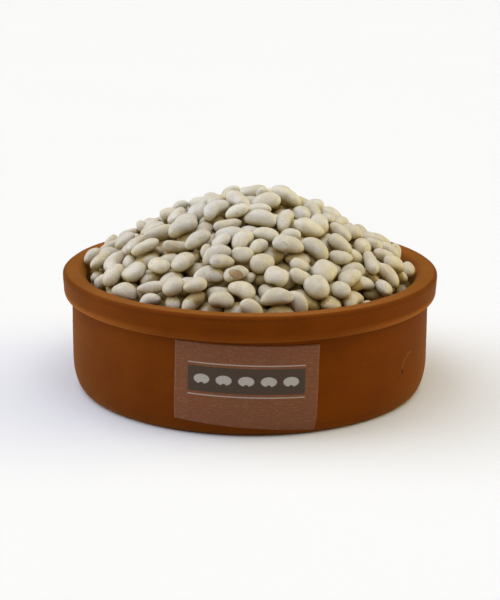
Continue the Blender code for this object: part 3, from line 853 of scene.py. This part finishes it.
def bean_piece(kind, beans, pile, mat):
    """All the beans of one kind as one mesh. The ones that hardly show have fewer points."""
    pitted, cracked = nearest_beans(pile, PITTED), nearest_beans(pile, CRACKED)
    points, faces, stored = [], [], {}
    count = 0
    for number, (half, centre, turn, cells) in beans:
        rng = np.random.default_rng(BEAN_SEED * 1000 + number)
        rings, sides = FINE_BEAN if cells > MANY_CELLS else COARSE_BEAN
        local, scar, side = bean_points(rng, kind, half, rings, sides)
        points.append(local @ turn.T + centre)
        faces += [tuple(count + i for i in face) for face in ring_faces(rings - 1, sides)]
        lower = centre[2] - points[-1][:, 2]
        own = {
            # How low each point lies in its bean and how near its narrow side, for painted shade there.
            "underside": lower / lower.max(),
            "narrow_side_shade": side,
            "scar": scar * (rng.uniform() < SCAR_SHARE),
            "tone_and_top_light": np.tile(bean_tone_and_top_light(rng, centre[2]), (len(local), 1)),
            "grain": local + rng.uniform(-0.5, 0.5, 3),
            "pit_place": mark_places(local, half, turn, pitted.get(number)),
            "crack_place": mark_places(local, half, turn, cracked.get(number)),
        }
        for name, values in own.items():
            stored.setdefault(name, []).append(values)
        count += len(local)
    points = np.concatenate(points)
    obj = object_from(f"beans_{kind}", points.tolist(), faces, mat)
    # How deep each point lies in the heap, for painted shade.
    store(obj.data, "depth", shade_depth_in_heap(points, pile))
    for name, values in stored.items():
        store(obj.data, name, np.concatenate(values))
    return obj


def bean_marks(tree, grain):
    """A brown pit, its dark edge of painted shadow, and short cracks, on the few beans that have them."""
    x, y, z = axes(attribute(tree, "pit_place", "Vector"))
    front = ease(z, *MARK_FRONT)
    wobble = times(noise(grain, 500.0, 2.0), 0.3)
    far = oval_distance(x, y, 0.0, *PIT_HALF_SIZES)
    far = minus(plus(far, wobble), 0.15)
    pit = times(ease_off(far, 0.85, 1.0), front)
    edge = times(bell(far, 0.97, 0.16), front)
    x, y, z = axes(attribute(tree, "crack_place", "Vector"))
    bent = times(noise(grain, 700.0, 2.0), CRACK_BEND)
    line = bell(plus(y, bent), CRACK_BEND / 2, CRACK_WIDTH)
    ends = ease_off(unsigned(x), *CRACK_ENDS)
    crack = times(line, ends, ease(z, *MARK_FRONT))
    return pit, edge, crack


def skin_colour(tree, grain, mottle):
    """Mottled and clouded cream, with painted shade: yellower on the narrow sides and the underside."""
    cloud = noise(grain, 90.0, 2.0)
    narrow_shade = times(attribute(tree, "narrow_side_shade"), ease(cloud, 0.35, 0.65))
    return layered(
        blend(ease(mottle, 0.35, 0.7), *SKIN),
        (ease(cloud, 0.52, 0.75), 1.0, SKIN_CLOUD),
        (narrow_shade, 0.3, SKIN_NARROW_SIDE_SHADE),
        (ease(attribute(tree, "underside"), -0.1, 0.9), 0.80, SKIN_UNDERSIDE_SHADE),
    )


def skin_veins(tree, grain):
    """Faint veins down the length of some beans."""
    thread = stretched(grain, (0.35, 1.0, 1.0))
    vein = bell(noise(thread, 620.0, 2.0, 0.4), 0.5, 0.035)
    return times(vein, ease(attribute(tree, "tone_and_top_light", "Alpha"), 0.2, 0.8))


def bean_material():
    mat, tree, shader = new_material("bean_skin")
    grain = attribute(tree, "grain", "Vector")
    mottle = noise(grain, 260.0, 3.0)
    fine = noise(grain, 1200.0, 3.0, 0.65)
    vein = skin_veins(tree, grain)
    scar = attribute(tree, "scar")
    pit, edge, crack = bean_marks(tree, grain)
    base = skin_colour(tree, grain, mottle)
    base = layered(base, (ease(fine, 0.46, 0.66), 0.30, SKIN_GRAIN), (vein, 0.45, SKIN_VEIN))
    base = layered(
        # Each bean's own tint, with the top ones whiter as painted light.
        blend(1.0, base, attribute(tree, "tone_and_top_light", "Color"), "MULTIPLY"),
        # Painted shade: browner deep between the beans.
        (ease(attribute(tree, "depth"), 0.10, 0.75), 0.90, SKIN_DEEP_SHADE),
        (ease(noise(grain, 330.0, 1.0), 0.775, 0.80), 0.5, SKIN_SPECK),
        (ease(scar, 0.35, 0.6), 0.55, SCAR_RING),
        (ease(scar, 0.72, 0.86), 1.0, SCAR_MIDDLE),
        (pit, 1.0, PIT_FLOOR),
        # Painted shadow round the pit's edge.
        (edge, 0.7, PIT_EDGE_SHADOW),
        (crack, 0.65, CRACK),
    )
    heights = ((mottle, 0.6), (vein, -0.4), (fine, -0.35), (pit, -4.0), (crack, -3.0))
    inputs = {
        "Base Color": base,
        "Roughness": between(mottle, 0.34, 0.52),
        "Specular IOR Level": 0.42,
        "Subsurface Weight": 0.10,
        "Subsurface Radius": (1.0, 0.62, 0.30),
        "Subsurface Scale": 1.6 * MM,
        "Normal": relief(0.18 * MM, 0.6, *heights),
    }
    feed(shader, inputs)
    return mat


def shaded_core_material():
    """Between the loose beans, the heap goes on in shadow: the core is coloured as beans in painted
    shade.
    """
    mat, tree, shader = new_material("shaded_bean_core")
    cells = {"Vector": object_place(tree), "Scale": CORE_CELLS}
    cells = add("ShaderNodeTexVoronoi", cells, "Distance")
    base = blend(ease(cells, 0.1, 0.6), *CORE_SHADE)
    feed(shader, {"Base Color": base, "Roughness": 0.7, "Normal": relief(4 * MM, 1.0, (cells, -1.0))})
    return mat


def core_profile():
    """The bed under the loose beans, which fills the bowl less a small gap."""
    inside_r = INSIDE_RADIUS - WALL_CLEARANCE
    floor = FLOOR_THICKNESS + WALL_CLEARANCE
    corner = INNER_CORNER_RADIUS
    points = [(0.0, floor), *arc(inside_r - corner, floor + corner, corner, corner, -90, 0, 8)]
    for r in np.linspace(inside_r, 0.0, CORE_RINGS + 1):
        points.append((float(r), float(heap_outline(0.0, r)) - BED_DEPTH))
    return points


def dress_beans():
    """One piece for each kind of bean, and the core under them."""
    skin = bean_material()
    pile = laid_pile()
    shown = pile.shown()
    for kind in BEAN_KINDS:
        chosen = []
        for number, (own_kind, half, centre, turn) in enumerate(pile.beans):
            depth = float(heap_outline(centre[0], centre[1])) - centre[2]
            if own_kind == kind and (shown[number] or depth < HIDDEN_DEPTH):
                chosen.append((number, (half, centre, turn, shown[number])))
        piece = bean_piece(kind, chosen, pile, skin)
        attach(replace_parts(piece, "beans"), "root")
    core = turned("shaded_bean_core", core_profile(), CORE_SEGMENTS, shaded_core_material())
    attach(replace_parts(core, "beans"), "root")


# The bowl.


def worn_clay(z, angles, along):
    """Turning rings and a slightly uneven wall, in metres outward."""
    rng = np.random.default_rng(WEAR_SEED)
    rings = sum(
        rng.uniform(0.01, 0.03) * np.sin(along / (pitch * MM) * 2 * math.pi + rng.uniform(0, TURN))
        for pitch in RING_PITCHES
    )
    sway = 0.10 * waves(rng, angles + along * 9, 6, 7) + 0.05 * waves(rng, angles - along * 14, 8, 19)
    shown = np.clip((z - 1 * MM) / (5 * MM), 0, 1)
    return (rings + sway) * MM * shown


def from_wall_point(place, degrees, height):
    """The way to each place from a point of the outer wall: its angle from the front, and its height."""
    a = math.radians(degrees)
    point = (WALL_RADIUS * math.sin(a), -WALL_RADIUS * math.cos(a), height)
    return vector_maths("SUBTRACT", place, point)


def wall_spot(place, degrees, height, size, stretch=1.0):
    """1 at a point of the outer wall, and 0 from the size on round it."""
    away = stretched(from_wall_point(place, degrees, height), (1.0, 1.0, stretch))
    return ease_off(vector_length(away), size * 0.4, size)


def clay_marks(place):
    """Two pits, a smudge and a scratch on the wall."""
    pits = maths("MAXIMUM", *[wall_spot(place, *pit) for pit in PITS])
    smudge = wall_spot(place, *SMUDGE)
    smudge = times(smudge, ease(noise(place, 500.0, 4.0, 0.7), 0.5, 0.66))
    away = from_wall_point(place, *SCRATCH_CENTRE)
    ring = bell(vector_length(away), SCRATCH_RADIUS, SCRATCH_WIDTH)
    side = vector_maths("DOT_PRODUCT", away, SCRATCH_WAY, output="Value")
    quarter = ease(side, SCRATCH_RADIUS * 0.62, SCRATCH_RADIUS * 0.80)
    return pits, smudge, times(ring, quarter)


def turned_clay(patchy, lines, flow):
    """The clay's own colour: soft patches, then broad and fine turning rings."""
    broad = noise(flow, 120.0, 2.0)
    return layered(
        blend(patchy, *CLAY),
        (ease(broad, 0.4, 0.7), 0.35, CLAY_BROAD_RING),
        (ease(lines, 0.55, 0.8), 0.30, CLAY_FINE_RING),
    )


def pale_part(up, radius):
    """1 on the rim's top and inside the bowl, where the clay is lighter and yellower."""
    top = times(ease_off(radius, *PALE_TOP_EDGE), ease(up, *PALE_HEIGHTS))
    return maths("MAXIMUM", top, ease_off(radius, *PALE_INSIDE_EDGE))


def round_mark(up, radius, height, fade, inner, outer):
    """1 on a line round the outside, fading up, down and inward."""
    return times(bell(up, height, fade), ease(radius, inner, outer))


def painted_light_strip(place, up, radius):
    """A strip of painted light under the band, as of light bounced up from below, stronger at the bowl's
    sides.
    """
    sideways = ease(unsigned(axes(place)[0]), 35 * MM, 88 * MM)
    sideways = plus(times(sideways, 0.60), 0.10)
    return times(round_mark(up, radius, *BOUNCE_LIGHT_STRIP), sideways)


def shoulder_marks_and_shade(place, up, radius):
    """A dark line on the band's shoulder: broken dark marks over an even painted shade in its crease."""
    broken = ease(noise(place, 650.0, 5.0, 0.8), 0.47, 0.60)
    broken = plus(times(broken, 0.85), 0.15)
    return times(round_mark(up, radius, *SHOULDER_LINE_AND_SHADE), broken)


def dark_specks(fine, up, radius):
    """Dark specks, crowded near the shoulder."""
    crowded = times(round_mark(up, radius, *CROWDED_SPECKS), 0.4)
    return times(ease(fine, 0.57, 0.66), plus(crowded, 0.4))


def clay_material():
    mat, tree, shader = new_material("terracotta")
    place = object_place(tree)
    up = axes(place)[2]
    radius = vector_length(stretched(place, (1.0, 1.0, 0.0)))
    # Noise read at this place runs round the bowl, as turning leaves it.
    flow = add("ShaderNodeCombineXYZ", {"Z": attribute(tree, "along")})
    flow = vector_maths("ADD", stretched(place, (0.06, 0.06, 0.0)), flow)
    lines = noise(flow, 900.0, 3.0, 0.6)
    patchy = ease(noise(place, 28.0, 3.0, 0.55), 0.3, 0.7)
    fine = noise(place, 1100.0, 4.0, 0.6)
    shoulder = shoulder_marks_and_shade(place, up, radius)
    pits, smudge, scratch = clay_marks(place)
    base = layered(
        turned_clay(patchy, lines, flow),
        (pale_part(up, radius), 1.0, blend(patchy, *CLAY_PALE)),
        # Painted light: a lighter strip under the band.
        (painted_light_strip(place, up, radius), 1.0, CLAY_BOUNCE_LIGHT),
        # Dark marks on the shoulder, over painted shade in its crease.
        (shoulder, 0.62, CLAY_SHOULDER_MARK_AND_SHADE),
        (dark_specks(fine, up, radius), 1.0, CLAY_SPECK),
        (ease(noise(place, 700.0, 2.0), 0.66, 0.75), 0.25, CLAY_GRIT),
        # Painted shade: darker in the last few millimetres at the foot.
        (ease_off(up, 0.3 * MM, 3 * MM), 0.15, CLAY_FOOT_SHADE),
        (smudge, 0.5, CLAY_SMUDGE),
        (scratch, 0.45, CLAY_SCRATCH),
        (pits, 0.9, CLAY_PIT),
    )
    heights = ((lines, 0.7), (fine, 0.6), (pits, -4.0), (shoulder, -1.5))
    inputs = {
        "Base Color": base,
        "Roughness": between(fine, 0.62, 0.82),
        "Specular IOR Level": 0.05,
        "Sheen Weight": 0.13,
        "Sheen Roughness": 0.4,
        "Sheen Tint": CLAY_SHEEN,
        "Normal": relief(0.12 * MM, 0.6, *heights),
    }
    feed(shader, inputs)
    return mat


def dress_bowl():
    profile = divided(bowl_profile(), PROFILE_STEP)
    bowl = turned("clay_bowl", profile, BOWL_SEGMENTS, clay_material(), worn_clay)
    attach(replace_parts(bowl, "bowl"), "root")


# The label.


def down_the_wall(drop, wall):
    """(radius, height, outward r, outward z) of the wall's outside, a distance below the band."""
    for (r0, z0), (r1, z1) in zip(wall, wall[1:]):
        step = math.hypot(r1 - r0, z1 - z0)
        if drop <= step:
            t = drop / step
            return r0 + (r1 - r0) * t, z0 + (z1 - z0) * t, (z0 - z1) / step, (r1 - r0) / step
        drop -= step
    raise ValueError("the label runs off the wall")


def label_point(u, v, lift, wall):
    """A point of the film: u across and v down from its centre, lifted off the wall."""
    across = u * math.cos(LABEL_TILT) - v * math.sin(LABEL_TILT)
    down = u * math.sin(LABEL_TILT) + v * math.cos(LABEL_TILT)
    r, z, out_r, out_z = down_the_wall(LABEL_DROP + down, wall)
    angle = LABEL_ANGLE + across / WALL_RADIUS
    r += out_r * lift
    return (r * math.sin(angle), -r * math.cos(angle), z + out_z * lift)


def label_mesh(mat):
    """The film's two sides, a thickness apart, and the narrow faces round its edge."""
    wall = outer_wall()[::-1]
    columns, rows = LABEL_COLUMNS + 1, LABEL_ROWS + 1
    points, places = [], []
    for lift in (LABEL_LIFT, LABEL_LIFT + LABEL_THICKNESS):
        for j in range(rows):
            for i in range(columns):
                u = LABEL_WIDTH * (i / LABEL_COLUMNS - 0.5)
                v = LABEL_HEIGHT * (j / LABEL_ROWS - 0.5) + LABEL_FLARE * u * j / LABEL_ROWS
                points.append(label_point(u, v, lift, wall))
                places.append((u / MM, -v / MM, 0.0))
    sheet = columns * rows
    faces = []
    for j in range(LABEL_ROWS):
        for i in range(LABEL_COLUMNS):
            a, b = j * columns + i, (j + 1) * columns + i
            faces.append((a, a + 1, b + 1, b))
            faces.append((sheet + a, sheet + b, sheet + b + 1, sheet + a + 1))
    grid = np.arange(sheet).reshape(rows, columns)
    edge = np.concatenate([grid[0], grid[1:, -1], grid[-1, -2::-1], grid[-2:0:-1, 0]]).tolist()
    for a, b in zip(edge, edge[1:] + edge[:1]):
        faces.append((a, sheet + a, sheet + b, b))
    obj = object_from("film_label", points, faces, mat)
    store(obj.data, "sheet", places)
    return obj


def label_print(place):
    """Where the film is printed: a dark strip, two pale rules along it and a row of pale beans on it."""
    across, up, _ = axes(place)
    wide = unsigned(across)
    above = minus(up, STRIP_UP)
    tall = unsigned(above)
    worn = ease(noise(place, 1.6, 4.0, 0.7), 0.30, 0.42)
    in_width = ease_off(wide, STRIP_HALF_WIDTH - INK_EDGE, STRIP_HALF_WIDTH + INK_EDGE)
    in_height = ease_off(tall, STRIP_HALF_HEIGHT - INK_EDGE, STRIP_HALF_HEIGHT + INK_EDGE)
    strip = times(in_width, in_height, worn)
    rules = times(bell(tall, STRIP_HALF_HEIGHT + RULE_GAP, RULE_WIDTH), in_width, worn)
    # Each printed bean is an oval with a smaller bite out of its lower edge.
    step = maths("PINGPONG", plus(across, PRINT_STEP * 40.0), PRINT_STEP / 2)
    oval = ease_off(oval_distance(step, above, *PRINTED_BEAN), 0.94, 1.06)
    bitten = ease(oval_distance(step, above, *PRINTED_BITE), 0.9, 1.1)
    in_row = ease_off(wide, PRINT_STEP * (PRINT_REACH - 0.05), PRINT_STEP * PRINT_REACH)
    beans = times(oval, bitten, in_row, worn)
    return strip, rules, beans


def label_material():
    """A thin brownish film, patchy and creased, with its print."""
    mat, tree, shader = new_material("label_film")
    place = attribute(tree, "sheet", "Vector")
    paper = noise(place, 0.9, 5.0, 0.65)
    patch = ease(noise(place, 0.06, 2.0), 0.35, 0.65)
    crease = noise(stretched(place, (0.25, 1.0, 1.0)), 0.5, 3.0, 0.5)
    crease = bell(crease, 0.5, 0.02)
    strip, rules, beans = label_print(place)
    base = layered(
        blend(ease(paper, 0.3, 0.7), *FILM),
        (patch, 0.3, FILM_PATCH),
        (crease, 0.16, FILM_CREASE),
        (strip, 0.9, INK),
        (rules, 0.8, RULE),
        (beans, 0.9, PALE_INK),
    )
    inputs = {
        "Base Color": base,
        "Roughness": between(paper, 0.38, 0.55),
        "Specular IOR Level": 0.3,
        "Normal": relief(0.12 * MM, 0.4, (paper, 0.4), (crease, 1.0)),
    }
    feed(shader, inputs)
    return mat


def dress_label():
    label = label_mesh(label_material())
    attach(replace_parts(label, "label"), "root")


# The set.


def sun(name, strength, colour, width, tilt, turn):
    """A light like a patch of sky, its angles in degrees."""
    light = bpy.data.lights.new(name, "SUN")
    light.energy = strength
    light.color = colour
    light.angle = math.radians(width)
    obj = bpy.data.objects.new(name, light)
    obj.rotation_euler = (math.radians(tilt), 0.0, math.radians(turn))
    bpy.context.scene.collection.objects.link(obj)


def floor_material():
    mat, tree, shader = new_material("floor")
    shade = blend(noise(object_place(tree), 3.0), *FLOOR)
    feed(shader, {"Base Color": shade, "Roughness": 0.9, "Specular IOR Level": 0.1})
    return mat


def build_set():
    size = FLOOR_HALF_SIZE
    corners = [(-size, -size, 0), (size, -size, 0), (size, size, 0), (-size, size, 0)]
    object_from("floor", corners, [(0, 1, 2, 3)], floor_material())
    world = bpy.data.worlds.new("studio")
    world.use_nodes = True
    sky = {"Color": (1.0, 1.0, 1.0), "Strength": SKY_STRENGTH}
    feed(world.node_tree.nodes["Background"], sky)
    bpy.context.scene.world = world
    for name, settings in SUNS.items():
        sun(name, *settings)
    bpy.context.scene.view_settings.view_transform = "Standard"
    bpy.context.scene.view_settings.look = "None"


def place_camera():
    """Looks at the target from the front, a little from above."""
    camera = bpy.data.cameras.new("camera")
    camera.sensor_width = SENSOR_WIDTH
    camera.lens = CAMERA_LENS
    camera.clip_start = 0.01
    camera.clip_end = 50.0
    obj = bpy.data.objects.new("camera", camera)
    back = Vector((0.0, -math.cos(CAMERA_ELEVATION), math.sin(CAMERA_ELEVATION)))
    place = Matrix.Translation(CAMERA_TARGET + back * CAMERA_DISTANCE)
    tilt = Matrix.Rotation(math.pi / 2 - CAMERA_ELEVATION, 4, "X")
    obj.matrix_world = place @ tilt @ Matrix.Rotation(CAMERA_ROLL, 4, "Z")
    bpy.context.scene.collection.objects.link(obj)
    bpy.context.scene.camera = obj


dress_bowl()
dress_beans()
dress_label()
build_set()
place_camera()
